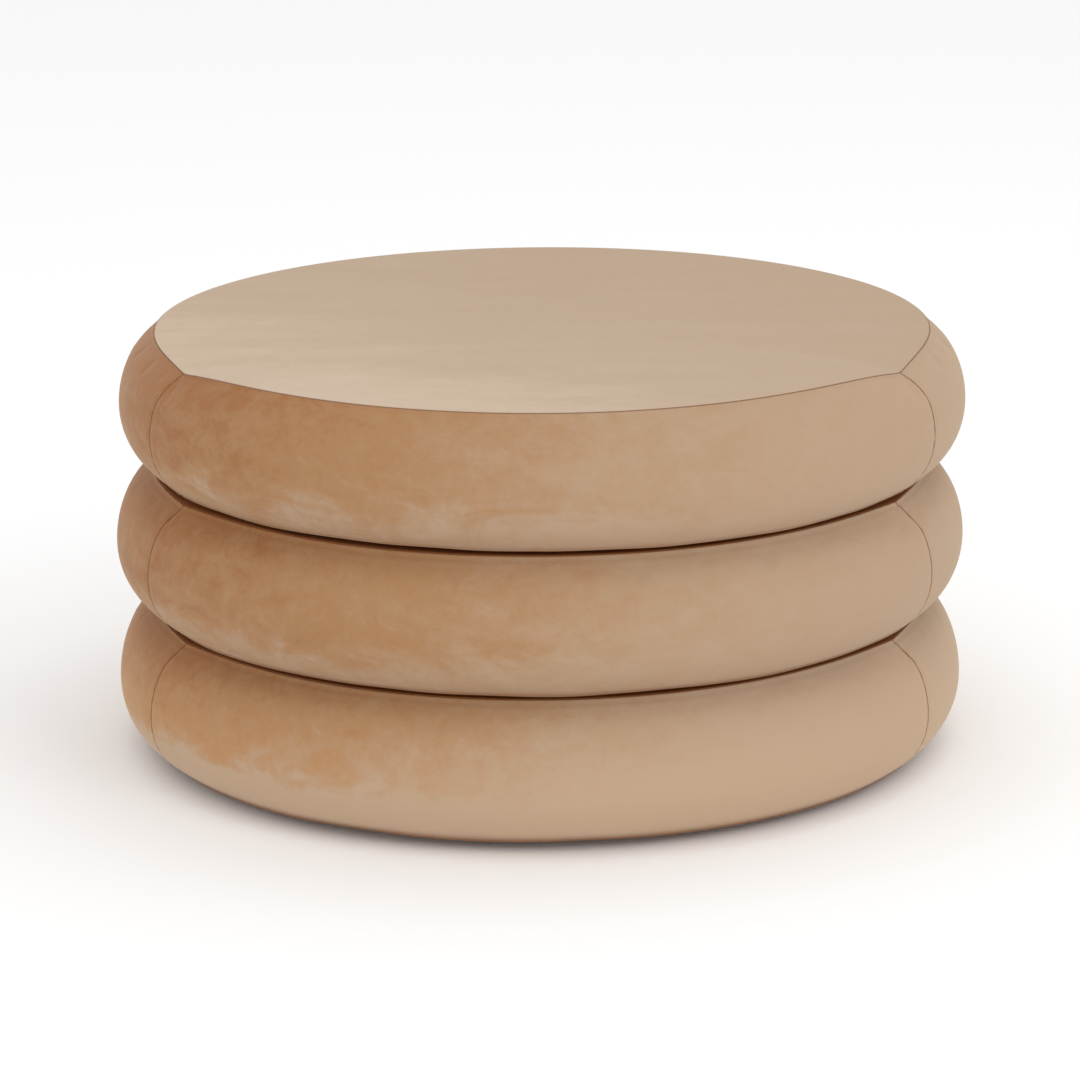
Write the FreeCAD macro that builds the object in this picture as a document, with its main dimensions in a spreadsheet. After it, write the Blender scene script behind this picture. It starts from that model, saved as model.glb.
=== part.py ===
import FreeCAD, Part
import math
import os
import re

import Sketcher

# A round upholstered ottoman: three stacked drums, each a plywood frame with a foam rim, wadding and a
# sewn velvet cover. +Z is up, the front faces -Y, and the origin is on the floor under the centre.
# Sizes are in millimetres and degrees, and every outline below is worked out from them.

SIZES = [
    # the tiers
    ("tier_radius", 425, "widest radius of a tier, over the velvet"),
    ("lower_height", 142, "height of the lowest tier"),
    ("middle_height", 138, "height of the middle tier"),
    ("upper_height", 134, "height of the top tier"),
    ("belly_height", 62, "height of the widest place above the tier's underside"),
    ("top_inset", 35, "how far the top seam stands in from the widest place"),
    ("bottom_inset", 36, "how far the bottom edge stands in from the widest place"),
    ("tier_gap", 1, "room between two tiers, taken up by the heads of the staples"),
    # the cover and the soft filling
    ("velvet", 1.6, "thickness of the velvet with its backing"),
    ("wadding", 6, "thickness of the polyester wadding"),
    ("layer_gap", 0.2, "room between two layers that lie against each other"),
    ("tuck_width", 35, "width of velvet turned under the bottom board"),
    ("front_angle", 124, "angle that the front panel of a band covers"),
    ("seam_angle", 0.1, "angle left open between two panels of a band"),
    ("pad_thickness", 20, "thickness of the foam pad on a top board"),
    # the wooden frame of a tier
    ("board_radius", 362, "radius of the plywood boards"),
    ("board_thickness", 9, "thickness of the bottom board"),
    ("deck_thickness", 9, "thickness of the top board"),
    ("hoop_thickness", 3, "thickness of the hardboard hoop"),
    ("block_length", 90, "length of a spacer block, along the hoop"),
    ("block_width", 44, "width of a spacer block, towards the centre"),
    ("block_setback", 14, "distance from the hoop to a block"),
    ("block_count", 6, "spacer blocks in a tier"),
    # wood screws, countersunk
    ("screw_head_radius", 4, "radius of a screw's head"),
    ("screw_head_height", 3.5, "height of the countersunk head"),
    ("screw_radius", 2, "radius of a screw's shank"),
    ("screw_length", 38, "length of a screw without its point"),
    ("screw_point", 5, "length of a screw's point"),
    ("screw_stagger", 12, "distance between the circles of the screws from below and from above"),
    # bolts and tee nuts that join the tiers
    ("bolt_radius", 4, "radius of a joining bolt"),
    ("bolt_head_radius", 10, "radius of a bolt's round head"),
    ("bolt_head_height", 4.4, "height of a bolt's round head"),
    ("bolt_head_sink", 5, "depth of the recess for a bolt's head"),
    ("bolt_clearance", 0.5, "room round a bolt and its head"),
    ("bolt_setback", 61, "distance from the spacer blocks in to the circle of the bolts"),
    ("bolt_count", 4, "joining bolts"),
    ("bolt_standout", 3, "length of bolt that stands out of the bored board"),
    ("nut_thread_gap", 0.05, "room between a bolt and its tee nut"),
    ("nut_barrel_radius", 5, "radius of a tee nut's barrel"),
    ("nut_barrel_length", 8, "length of a tee nut's barrel"),
    ("nut_flange_radius", 11, "radius of a tee nut's flange"),
    ("nut_flange", 1.5, "thickness of a tee nut's flange"),
    # staples
    ("staple_width", 10, "width of a staple"),
    ("staple_leg", 9, "length of a staple's leg below its crown"),
    ("staple_wire", 0.6, "thickness of the staple wire, across its flat"),
    ("staple_wire_width", 1.2, "width of the flat staple wire"),
    ("tuck_staple_setback", 8, "distance from the board's edge to the staples in the turned-under velvet"),
    ("dust_staple_setback", 8, "distance from the dust cover's edge to its staples"),
    ("staple_count", 36, "staples in a ring"),
    # the underside
    ("dust_cover_setback", 16, "distance from the board's edge to the dust cover's edge"),
    ("dust_cover", 0.6, "thickness of the dust cover cloth"),
    ("glide_radius", 14, "radius of a glide"),
    ("glide_height", 5, "height of a glide under the dust cover"),
    ("glide_round", 2, "rounding of a glide's lower edge"),
    ("nail_radius", 1.25, "radius of the nail moulded into a glide"),
    ("nail_length", 11, "length of that nail, with its point"),
    ("nail_point", 3, "length of the nail's point"),
    ("glide_setback", 62, "distance from the board's edge to the circle of the glides"),
    ("glide_count", 6, "glides"),
]

FULL_TURN = 360
FACING_FRONT = -90

doc = FreeCAD.newDocument("tiered_ottoman")
sheet = doc.addObject("Spreadsheet::Sheet", "Sizes")
for row, (name, size, meaning) in enumerate(SIZES, start=1):
    sheet.set(f"A{row}", meaning)
    sheet.set(f"B{row}", str(size))
    sheet.setAlias(f"B{row}", name)
doc.recompute()
ALIASES = {name for name, size, meaning in SIZES}


def bind(text):
    """An expression in which each size's name points at its cell."""
    return re.sub(r"[a-z_]+", lambda word: f"Sizes.{word[0]}" if word[0] in ALIASES else word[0], text)


def value(text):
    return float(sheet.evalExpression(bind(text)))


# ---- helpers ----

def origin_feature(body, role):
    return next(item for item in body.Origin.OriginFeatures if item.Role == role)


def new_body(label, base="0", angle=0):
    """A body whose own zero height is at the height base, turned about Z by angle degrees."""
    body = doc.addObject("PartDesign::Body", label)
    body.Label = label
    turn = FreeCAD.Rotation(FreeCAD.Vector(0, 0, 1), angle)
    body.Placement = FreeCAD.Placement(FreeCAD.Vector(0, 0, value(base)), turn)
    body.setExpression("Placement.Base.z", bind(base))
    return body


def new_sketch(body, name, role):
    sketch = body.newObject("Sketcher::SketchObject", name)
    sketch.AttachmentSupport = [(origin_feature(body, role), "")]
    sketch.MapMode = "FlatFace"
    return sketch


def pin_point(sketch, edge, end, across, up):
    """Hold an edge's end at a place given by two expressions."""
    for kind, text, other_axis in (("DistanceX", across, -2), ("DistanceY", up, -1)):
        if text == "0":
            sketch.addConstraint(Sketcher.Constraint("PointOnObject", edge, end, other_axis))
            continue
        number = sketch.addConstraint(Sketcher.Constraint(kind, -1, 1, edge, end, value(text)))
        sketch.renameConstraint(number, f"{kind}{number}")
        sketch.setExpression(f"Constraints.{kind}{number}", bind(text))


def outline(sketch, corners):
    """Close an outline through corners (across, up) or (across, up, radius, side).

    A radius bows the edge that leaves the corner. Its centre is on the left of the way round for side 1
    and on the right for side -1.
    """
    places = [FreeCAD.Vector(value(corner[0]), value(corner[1]), 0) for corner in corners]
    ends = []
    for index, corner in enumerate(corners):
        start = places[index]
        stop = places[(index + 1) % len(places)]
        if len(corner) == 2:
            edge = sketch.addGeometry(Part.LineSegment(start, stop))
            ends.append((edge, 1, 2))
            continue
        radius = value(corner[2])
        side = corner[3]
        chord = stop - start
        left = FreeCAD.Vector(-chord.y, chord.x, 0).normalize()
        reach = math.sqrt(radius ** 2 - (chord.Length / 2) ** 2)
        centre = start + chord * 0.5 + left * (reach * side)
        low, high = (start, stop) if side > 0 else (stop, start)
        low_angle = math.atan2(low.y - centre.y, low.x - centre.x)
        high_angle = math.atan2(high.y - centre.y, high.x - centre.x)
        circle = Part.Circle(centre, FreeCAD.Vector(0, 0, 1), radius)
        edge = sketch.addGeometry(Part.ArcOfCircle(circle, low_angle, high_angle))
        number = sketch.addConstraint(Sketcher.Constraint("Radius", edge, radius))
        sketch.renameConstraint(number, f"Radius{number}")
        sketch.setExpression(f"Constraints.Radius{number}", bind(corner[2]))
        ends.append((edge, 1, 2) if side > 0 else (edge, 2, 1))
    for index, (edge, first, last) in enumerate(ends):
        next_edge, next_first, next_last = ends[(index + 1) % len(ends)]
        sketch.addConstraint(Sketcher.Constraint("Coincident", edge, last, next_edge, next_first))
        pin_point(sketch, edge, first, corners[index][0], corners[index][1])


def turned(body, name, corners, sweep=str(FULL_TURN), axis="0"):
    """Turn an outline in the upright XZ plane about the line at the distance axis from the centre."""
    sketch = new_sketch(body, f"{name}_outline", "XZ_Plane")
    outline(sketch, corners)
    line = "V_Axis"
    if axis != "0":
        foot = FreeCAD.Vector(value(axis), 0, 0)
        edge = sketch.addGeometry(Part.LineSegment(foot, foot + FreeCAD.Vector(0, 1, 0)), True)
        sketch.addConstraint(Sketcher.Constraint("Vertical", edge))
        pin_point(sketch, edge, 1, axis, "0")
        line = "Axis0"
    feature = body.newObject("PartDesign::Revolution", name)
    feature.Profile = sketch
    feature.ReferenceAxis = (sketch, [line])
    feature.Midplane = True
    feature.setExpression("Angle", bind(sweep))
    return feature


def repeated(body, name, features, count):
    """Repeat features evenly round the Z axis."""
    pattern = body.newObject("PartDesign::PolarPattern", name)
    pattern.Originals = features
    pattern.Axis = (origin_feature(body, "Z_Axis"), [""])
    pattern.Angle = FULL_TURN
    pattern.setExpression("Occurrences", bind(count))
    body.Tip = pattern


def cut_by(label, base, tools):
    """The base with the tools' shapes taken out of it."""
    for number, tool in enumerate(tools):
        cut = doc.addObject("Part::Cut", f"{label}_cut{number}")
        cut.Base = base
        cut.Tool = tool
        base = cut
    base.Label = label
    return base


def disc(label, radius, thickness, base):
    cylinder = doc.addObject("Part::Cylinder", label)
    cylinder.Label = label
    cylinder.setExpression("Radius", bind(radius))
    cylinder.setExpression("Height", bind(thickness))
    cylinder.setExpression("Placement.Base.z", bind(base))
    return cylinder


# ---- the side of a tier ----
# The side is two arcs that meet at the widest place with an upright tangent. Each layer inside the cover
# is the same side moved in by the layer's offset, so the arcs keep their centres and lose that much radius.

LOW_ARC = "((bottom_inset ^ 2 + belly_height ^ 2) / (2 * bottom_inset))"
COVER_IN = "(velvet + layer_gap)"
WADDING_IN = f"({COVER_IN} + wadding)"
FOAM_IN = f"({WADDING_IN} + layer_gap)"


def high_arc(tier):
    return f"((top_inset ^ 2 + ({tier}_height - belly_height) ^ 2) / (2 * top_inset))"


def low_reach(offset, up):
    """Radius of the side, moved in by an offset, at a height below the widest place."""
    return f"(tier_radius - {LOW_ARC} + sqrt(({LOW_ARC} - {offset}) ^ 2 - (belly_height - {up}) ^ 2))"


def high_reach(tier, offset, up):
    """The same above the widest place."""
    arc = high_arc(tier)
    return f"(tier_radius - {arc} + sqrt(({arc} - {offset}) ^ 2 - ({up} - belly_height) ^ 2))"


def side_up(tier, offset, low, high):
    """Corners from the height low to the height high, going up with the material on the left."""
    return [
        (low_reach(offset, low), low, f"({LOW_ARC} - {offset})", 1),
        (f"(tier_radius - {offset})", "belly_height", f"({high_arc(tier)} - {offset})", 1),
        (high_reach(tier, offset, high), high),
    ]


def side_down(tier, offset, low, high):
    """The same corners, going down with the material on the left."""
    return [
        (high_reach(tier, offset, high), high, f"({high_arc(tier)} - {offset})", -1),
        (f"(tier_radius - {offset})", "belly_height", f"({LOW_ARC} - {offset})", -1),
        (low_reach(offset, low), low),
    ]


# ---- heights ----

BASES = {"lower": "(glide_height + dust_cover + 2 * layer_gap)"}
BASES["middle"] = f"({BASES['lower']} + lower_height + tier_gap)"
BASES["upper"] = f"({BASES['middle']} + middle_height + tier_gap)"
BOARD_LOW = COVER_IN
BOARD_HIGH = f"({BOARD_LOW} + board_thickness)"
TUCK_RADIUS = "(board_radius - tuck_width)"
BLOCK_REACH = "(board_radius - hoop_thickness - block_setback)"
LOW_SCREW_CIRCLE = f"({BLOCK_REACH} - (block_width + screw_stagger) / 2)"
HIGH_SCREW_CIRCLE = f"({BLOCK_REACH} - (block_width - screw_stagger) / 2)"
BOLT_CIRCLE = f"({BLOCK_REACH} - block_width - bolt_setback)"
TUCK_STAPLE_CIRCLE = "(board_radius - tuck_staple_setback)"
DUST_COVER_RADIUS = "(board_radius - dust_cover_setback)"
DUST_STAPLE_CIRCLE = f"({DUST_COVER_RADIUS} - dust_staple_setback)"
GLIDE_CIRCLE = "(board_radius - glide_setback)"


def pad_low(tier):
    return f"({tier}_height - {FOAM_IN} - pad_thickness)"


def deck_high(tier):
    return f"({pad_low(tier)} - layer_gap)"


def deck_low(tier):
    return f"({deck_high(tier)} - deck_thickness)"


# ---- fasteners ----

def staple_ring(label, base, circle):
    """Staples pushed up from below, crowns along the ring."""
    body = new_body(label, base, FACING_FRONT + FULL_TURN / value("staple_count") / 2)
    sketch = new_sketch(body, "staple_outline", "YZ_Plane")
    tall = "(staple_wire + staple_leg)"
    outline(sketch, [
        ("0", "0"),
        ("staple_width", "0"),
        ("staple_width", tall),
        ("(staple_width - staple_wire)", tall),
        ("(staple_width - staple_wire)", "staple_wire"),
        ("staple_wire", "staple_wire"),
        ("staple_wire", tall),
        ("0", tall),
    ])
    sketch.AttachmentOffset = FreeCAD.Placement(FreeCAD.Vector(0, 0, value(circle)), FreeCAD.Rotation())
    sketch.setExpression("AttachmentOffset.Base.z", bind(circle))
    staple = body.newObject("PartDesign::Pad", "staple")
    staple.Profile = sketch
    staple.setExpression("Length", bind("staple_wire_width"))
    repeated(body, "ring", [staple], "staple_count")
    return body


def screw_corners(circle, head, point):
    """A countersunk screw on a circle, from its head's face to its point; the two heights set which way it
    points."""
    way = "+" if value(point) > value(head) else "-"
    return [
        (circle, head),
        (f"({circle} + screw_head_radius)", head),
        (f"({circle} + screw_radius)", f"({head} {way} screw_head_height)"),
        (f"({circle} + screw_radius)", f"({head} {way} screw_length)"),
        (circle, point),
    ]


def frame_screws(tier):
    """Screws through both boards into each spacer block. The two in a block stand beside each other, so that
    they clear each other however low the tier is."""
    body = new_body(f"{tier}_frame_screws", BASES[tier])
    low = screw_corners(LOW_SCREW_CIRCLE, BOARD_LOW, f"({BOARD_LOW} + screw_length + screw_point)")
    tip = f"({deck_high(tier)} - screw_length - screw_point)"
    high = screw_corners(HIGH_SCREW_CIRCLE, deck_high(tier), tip)
    from_below = turned(body, "screw_from_below", low, axis=LOW_SCREW_CIRCLE)
    from_above = turned(body, "screw_from_above", high, axis=HIGH_SCREW_CIRCLE)
    repeated(body, "screw_ring", [from_below, from_above], "block_count")
    return body


def joining_bolts():
    """Round-headed bolts from the lowest board up through two tiers into the top tier's tee nuts."""
    seat = f"({BASES['lower']} + {BOARD_LOW} + bolt_head_sink)"
    tip = f"({BASES['upper']} + {BOARD_HIGH} + bolt_standout)"
    dome = "((bolt_head_radius ^ 2 + bolt_head_height ^ 2) / (2 * bolt_head_height))"
    body = new_body("joining_bolts", angle=FULL_TURN / value("bolt_count") / 2)
    bolt = turned(body, "bolt", [
        (BOLT_CIRCLE, f"({seat} - bolt_head_height)", dome, 1),
        (f"({BOLT_CIRCLE} + bolt_head_radius)", seat),
        (f"({BOLT_CIRCLE} + bolt_radius)", seat),
        (f"({BOLT_CIRCLE} + bolt_radius)", tip),
        (BOLT_CIRCLE, tip),
    ], axis=BOLT_CIRCLE)
    repeated(body, "bolt_ring", [bolt], "bolt_count")
    return body


def bolt_room():
    """The space that the bolts and their heads need, taken out of every piece that they pass through."""
    low = BASES["lower"]
    seat = f"({low} + {BOARD_LOW} + bolt_head_sink)"
    high = f"({BASES['upper']} + {BOARD_HIGH})"
    body = new_body("bolt_room", angle=FULL_TURN / value("bolt_count") / 2)
    room = turned(body, "room", [
        (BOLT_CIRCLE, low),
        (f"({BOLT_CIRCLE} + bolt_head_radius + bolt_clearance)", low),
        (f"({BOLT_CIRCLE} + bolt_head_radius + bolt_clearance)", seat),
        (f"({BOLT_CIRCLE} + bolt_radius + bolt_clearance)", seat),
        (f"({BOLT_CIRCLE} + bolt_radius + bolt_clearance)", high),
        (BOLT_CIRCLE, high),
    ], axis=BOLT_CIRCLE)
    repeated(body, "room_ring", [room], "bolt_count")
    return body


def tee_nuts():
    """Tee nuts pressed into the top of the upper tier's bottom board."""
    top = f"({BASES['upper']} + {BOARD_HIGH})"
    body = new_body("tee_nuts", angle=FULL_TURN / value("bolt_count") / 2)
    bore = f"({BOLT_CIRCLE} + bolt_radius + nut_thread_gap)"
    nut = turned(body, "nut", [
        (bore, f"({top} - nut_barrel_length)"),
        (f"({BOLT_CIRCLE} + nut_barrel_radius)", f"({top} - nut_barrel_length)"),
        (f"({BOLT_CIRCLE} + nut_barrel_radius)", top),
        (f"({BOLT_CIRCLE} + nut_flange_radius)", top),
        (f"({BOLT_CIRCLE} + nut_flange_radius)", f"({top} + nut_flange)"),
        (bore, f"({top} + nut_flange)"),
    ], axis=BOLT_CIRCLE)
    repeated(body, "nut_ring", [nut], "bolt_count")
    return body


def glides():
    """Plastic glides on the floor, each with a nail up through the dust cover into the lowest board."""
    body = new_body("glides", angle=FULL_TURN / value("glide_count") / 2)
    nail_top = "(glide_height + nail_length)"
    glide = turned(body, "glide", [
        (GLIDE_CIRCLE, "0"),
        (f"({GLIDE_CIRCLE} + glide_radius - glide_round)", "0", "glide_round", 1),
        (f"({GLIDE_CIRCLE} + glide_radius)", "glide_round"),
        (f"({GLIDE_CIRCLE} + glide_radius)", "glide_height"),
        (f"({GLIDE_CIRCLE} + nail_radius)", "glide_height"),
        (f"({GLIDE_CIRCLE} + nail_radius)", f"({nail_top} - nail_point)"),
        (GLIDE_CIRCLE, nail_top),
    ], axis=GLIDE_CIRCLE)
    repeated(body, "glide_ring", [glide], "glide_count")
    return body


# ---- one tier ----

def upright_block(body, name, tier, inner, outer):
    """A softwood block between the two boards, from the distance inner to the distance outer."""
    sketch = new_sketch(body, f"{name}_outline", "XY_Plane")
    outline(sketch, [
        (inner, "(-block_length / 2)"),
        (outer, "(-block_length / 2)"),
        (outer, "(block_length / 2)"),
        (inner, "(block_length / 2)"),
    ])
    block = body.newObject("PartDesign::Pad", name)
    block.Profile = sketch
    block.setExpression("Length", bind(f"{deck_low(tier)} - {BOARD_HIGH}"))
    return block


def spacer_blocks(tier):
    """A square block glued in at the centre, and a ring of blocks inside the hoop."""
    body = new_body(f"{tier}_spacer_blocks_blank", f"({BASES[tier]} + {BOARD_HIGH})")
    upright_block(body, "centre_block", tier, "(-block_length / 2)", "(block_length / 2)")
    block = upright_block(body, "block", tier, f"({BLOCK_REACH} - block_width)", BLOCK_REACH)
    repeated(body, "block_ring", [block], "block_count")
    return body


def hoop(tier):
    """Hardboard bent round the frame between the two boards."""
    body = new_body(f"{tier}_hoop", BASES[tier])
    inner = "(board_radius - hoop_thickness)"
    turned(body, "hoop_wall", [
        (inner, BOARD_HIGH),
        ("board_radius", BOARD_HIGH),
        ("board_radius", deck_low(tier)),
        (inner, deck_low(tier)),
    ])
    return body


def foam_rim(tier):
    """Foam glued round the frame, which gives the tier its full rounded side."""
    body = new_body(f"{tier}_foam_rim", BASES[tier])
    inner = "(board_radius + layer_gap)"
    corners = [(inner, BOARD_LOW)]
    corners += side_up(tier, FOAM_IN, FOAM_IN, deck_high(tier))
    corners += [(inner, deck_high(tier))]
    turned(body, "rim", corners)
    return body


def top_pad(tier):
    """Foam pad over the top board and the rim, its edge in line with the rim's side."""
    body = new_body(f"{tier}_top_pad_blank", BASES[tier])
    low = pad_low(tier)
    high = f"({tier}_height - {FOAM_IN})"
    turned(body, "pad", [
        ("0", low),
        (high_reach(tier, FOAM_IN, low), low, f"({high_arc(tier)} - {FOAM_IN})", 1),
        (high_reach(tier, FOAM_IN, high), high),
        ("0", high),
    ])
    return body


def wadding_cap(tier):
    """Polyester wadding laid over the pad and down the side."""
    body = new_body(f"{tier}_wadding_blank", BASES[tier])
    inner_top = f"({tier}_height - {WADDING_IN})"
    outer_top = f"({tier}_height - {COVER_IN})"
    corners = [("0", inner_top)]
    corners += side_down(tier, WADDING_IN, WADDING_IN, inner_top)
    corners += side_up(tier, COVER_IN, COVER_IN, outer_top)
    corners += [("0", outer_top)]
    turned(body, "cap", corners)
    return body


def top_panel(tier):
    """Round velvet panel sewn inside the band's upper edge."""
    body = new_body(f"{tier}_top_panel_blank", BASES[tier])
    edge = f"({high_reach(tier, 'velvet', f'{tier}_height')} - layer_gap)"
    turned(body, "panel", [
        ("0", f"({tier}_height - velvet)"),
        (edge, f"({tier}_height - velvet)"),
        (edge, f"{tier}_height"),
        ("0", f"{tier}_height"),
    ])
    return body


def band_panel(tier, name, sweep, angle):
    """One velvet panel of the side band, from the top seam round the side and under the bottom board."""
    body = new_body(f"{tier}_{name}_blank", BASES[tier], angle)
    corners = [(TUCK_RADIUS, "0")]
    corners += side_up(tier, "0", "0", f"{tier}_height")
    corners += side_down(tier, "velvet", "velvet", f"{tier}_height")
    corners += [(TUCK_RADIUS, "velvet")]
    turned(body, "cloth", corners, sweep=f"({sweep} - seam_angle)")
    return body


def build_tier(tier, room, extra_board_tools, extra_band_tools):
    """All pieces of one tier, as name and object."""
    through = [room] if tier != "upper" else []
    screws = frame_screws(tier)
    tucks = staple_ring(f"{tier}_staples", f"({BASES[tier]} - staple_wire)", TUCK_STAPLE_CIRCLE)
    low_disc = disc(f"{tier}_bottom_board_blank", "board_radius", "board_thickness",
                    f"{BASES[tier]} + {BOARD_LOW}")
    high_disc = disc(f"{tier}_top_board_blank", "board_radius", "deck_thickness",
                     f"{BASES[tier]} + {deck_low(tier)}")
    board_tools = [screws, tucks, room] + extra_board_tools
    side_sweep = f"(({FULL_TURN} - front_angle) / 2)"
    side_turn = value("front_angle") / 2 + value(side_sweep) / 2
    bands = [
        ("band_front", "front_angle", FACING_FRONT),
        ("band_right", side_sweep, FACING_FRONT + side_turn),
        ("band_left", side_sweep, FACING_FRONT - side_turn),
    ]
    pieces = {
        f"{tier}_bottom_board": cut_by(f"{tier}_bottom_board", low_disc, board_tools),
        f"{tier}_top_board": cut_by(f"{tier}_top_board", high_disc, [screws] + through),
        f"{tier}_spacer_blocks": cut_by(f"{tier}_spacer_blocks", spacer_blocks(tier), [screws]),
        f"{tier}_hoop": hoop(tier),
        f"{tier}_foam_rim": foam_rim(tier),
        f"{tier}_frame_screws": screws,
        f"{tier}_staples": tucks,
    }
    for name, maker in (("top_pad", top_pad), ("wadding", wadding_cap), ("top_panel", top_panel)):
        pieces[f"{tier}_{name}"] = cut_by(f"{tier}_{name}", maker(tier), through)
    for name, sweep, angle in bands:
        blank = band_panel(tier, name, sweep, angle)
        pieces[f"{tier}_{name}"] = cut_by(f"{tier}_{name}", blank, [tucks] + extra_band_tools)
    return pieces


# ---- the whole ottoman ----

room = bolt_room()
nuts = tee_nuts()
feet = glides()
cover_low = "(glide_height + layer_gap)"
dust_staples = staple_ring("dust_cover_staples", f"({cover_low} - staple_wire)", DUST_STAPLE_CIRCLE)
dust_cover = disc("dust_cover_blank", DUST_COVER_RADIUS, "dust_cover", cover_low)

nodes = {
    "glides": feet,
    "dust_cover": cut_by("dust_cover", dust_cover, [feet, dust_staples]),
    "dust_cover_staples": dust_staples,
    "joining_bolts": joining_bolts(),
    "tee_nuts": nuts,
}
nodes.update(build_tier("lower", room, [feet, dust_staples], [dust_staples]))
nodes.update(build_tier("middle", room, [], []))
nodes.update(build_tier("upper", room, [nuts], []))
for label, piece in nodes.items():
    piece.Label = label
doc.recompute()

# ---- checks and export ----

for item in doc.Objects:
    if "Invalid" in item.State or "Error" in item.State:
        raise RuntimeError(f"{item.Label} failed: {item.State}")
for label, piece in nodes.items():
    if piece.Shape.isNull() or not piece.Shape.isValid() or not piece.Shape.Solids:
        raise RuntimeError(f"{label} has no valid solid")

os.makedirs("parts", exist_ok=True)
for label, piece in nodes.items():
    piece.Shape.exportStep(f"parts/{label}.step")
    box = piece.Shape.BoundBox
    print(f"{label}: {len(piece.Shape.Solids)} solid(s), {piece.Shape.Volume / 1000:.1f} cm3, "
          f"z {box.ZMin:.1f} to {box.ZMax:.1f}")
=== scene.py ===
# %% [markdown]
# # A round three-tier velvet ottoman
# Three drums stand on each other. Each has a plywood frame, a foam rim with a full rounded side, a layer of
# wadding and a sewn velvet cover. The frame and its fasteners come from the CAD model and are only given
# their finish. The soft layers are made here, because cloth needs a shape that CAD doesn't draw.

# %% Load the fixed frame
import math

import bmesh
import bpy
import numpy as np
from mathutils import Matrix, Vector, noise


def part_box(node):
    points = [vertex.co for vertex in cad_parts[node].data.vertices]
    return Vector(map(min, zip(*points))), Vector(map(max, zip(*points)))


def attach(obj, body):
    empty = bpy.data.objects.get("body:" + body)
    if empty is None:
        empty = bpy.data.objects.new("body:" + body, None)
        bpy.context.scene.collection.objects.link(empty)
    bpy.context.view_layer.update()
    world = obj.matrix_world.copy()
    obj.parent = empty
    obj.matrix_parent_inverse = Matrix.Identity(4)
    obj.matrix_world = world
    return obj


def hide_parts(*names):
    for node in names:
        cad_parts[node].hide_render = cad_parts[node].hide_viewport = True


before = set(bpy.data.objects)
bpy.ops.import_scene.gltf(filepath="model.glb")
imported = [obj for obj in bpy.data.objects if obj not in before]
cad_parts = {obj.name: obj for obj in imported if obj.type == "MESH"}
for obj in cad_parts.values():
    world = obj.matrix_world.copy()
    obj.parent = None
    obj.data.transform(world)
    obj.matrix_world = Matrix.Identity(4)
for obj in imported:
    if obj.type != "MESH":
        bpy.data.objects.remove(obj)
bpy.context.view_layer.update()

# %% [markdown]
# The sizes of the soft layers are read from the CAD pieces, so the cover always fits its frame: the widest
# place, the seam at the top, the edge under the board and the velvet that is turned under it.

# %% Sizes read from the frame
TIERS = ("lower", "middle", "upper")


def node_points(node):
    """A CAD node's corners as one array."""
    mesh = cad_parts[node].data
    points = np.zeros(len(mesh.vertices) * 3)
    mesh.vertices.foreach_get("co", points)
    return points.reshape(-1, 3)


def reach(points):
    return np.hypot(points[:, 0], points[:, 1])


def tier_sizes(tier):
    """Heights and radii of a tier's cover, and of the foam and boards inside it."""
    band = node_points(f"{tier}_band_front")
    low, high = band[:, 2].min(), band[:, 2].max()
    under = band[band[:, 2] < low + 1e-4]
    top = band[band[:, 2] > high - 1e-4]
    widest = reach(band).max()
    return {
        "low": low,
        "high": high,
        "widest": widest,
        "belly": band[reach(band) > widest - 1e-4][:, 2].mean(),
        "seam": reach(top).max(),
        "edge": reach(under).max(),
        "tuck": reach(under).min(),
        "board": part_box(f"{tier}_top_board")[1][0],
        "pad_low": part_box(f"{tier}_top_pad")[0][2],
        "foam_low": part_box(f"{tier}_foam_rim")[0][2],
    }


SIZES = {tier: tier_sizes(tier) for tier in TIERS}
for tier in TIERS:
    print(tier, {name: round(float(size), 4) for name, size in SIZES[tier].items()})

VELVET = 0.0016          # cloth with its backing
LEFT_SEAM = math.radians(-61)
RIGHT_SEAM = math.radians(61)
BACK_SEAM = math.pi
SEAMS = (LEFT_SEAM, RIGHT_SEAM, BACK_SEAM)

# %% [markdown]
# ## The tier as one body of cloth
# A cover is sewn a little small and pulled over the foam, and the foam pushes it out again. The final curve
# could be drawn by hand, but then it looks like turned wood. Here the whole cover is laid out as a grid,
# with rows from the middle of the top over the side and under the board, and columns round the tier. It
# starts a few millimetres small and a cloth simulation with air pressure fills it. The panels are then cut
# from that body, as a cutter would mark them on the finished form.

# %% The rows of the grid
COLUMNS = 360
TOP_ROWS = 18
SIDE_ROWS = 30
UNDER_ROWS = 10
SEAM_ROW = TOP_ROWS
EDGE_ROW = TOP_ROWS + SIDE_ROWS
LAST_ROW = EDGE_ROW + UNDER_ROWS


def arc_points(start, stop, count):
    """Points on the arc that leaves or meets the widest place upright, from start to stop."""
    (r0, z0), (r1, z1) = start, stop
    wide, level = (r1, z1) if r1 > r0 else (r0, z0)
    inset, rise = abs(r1 - r0), abs(z1 - z0)
    radius = (inset ** 2 + rise ** 2) / (2 * inset)
    full = math.asin(rise / radius)
    up = 1 if max(z0, z1) > level else -1
    points = []
    for step in range(count + 1):
        share = step / count
        angle = full * (1 - share) if r1 > r0 else full * share
        points.append((wide - radius + radius * math.cos(angle), level + up * radius * math.sin(angle)))
    return points


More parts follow.
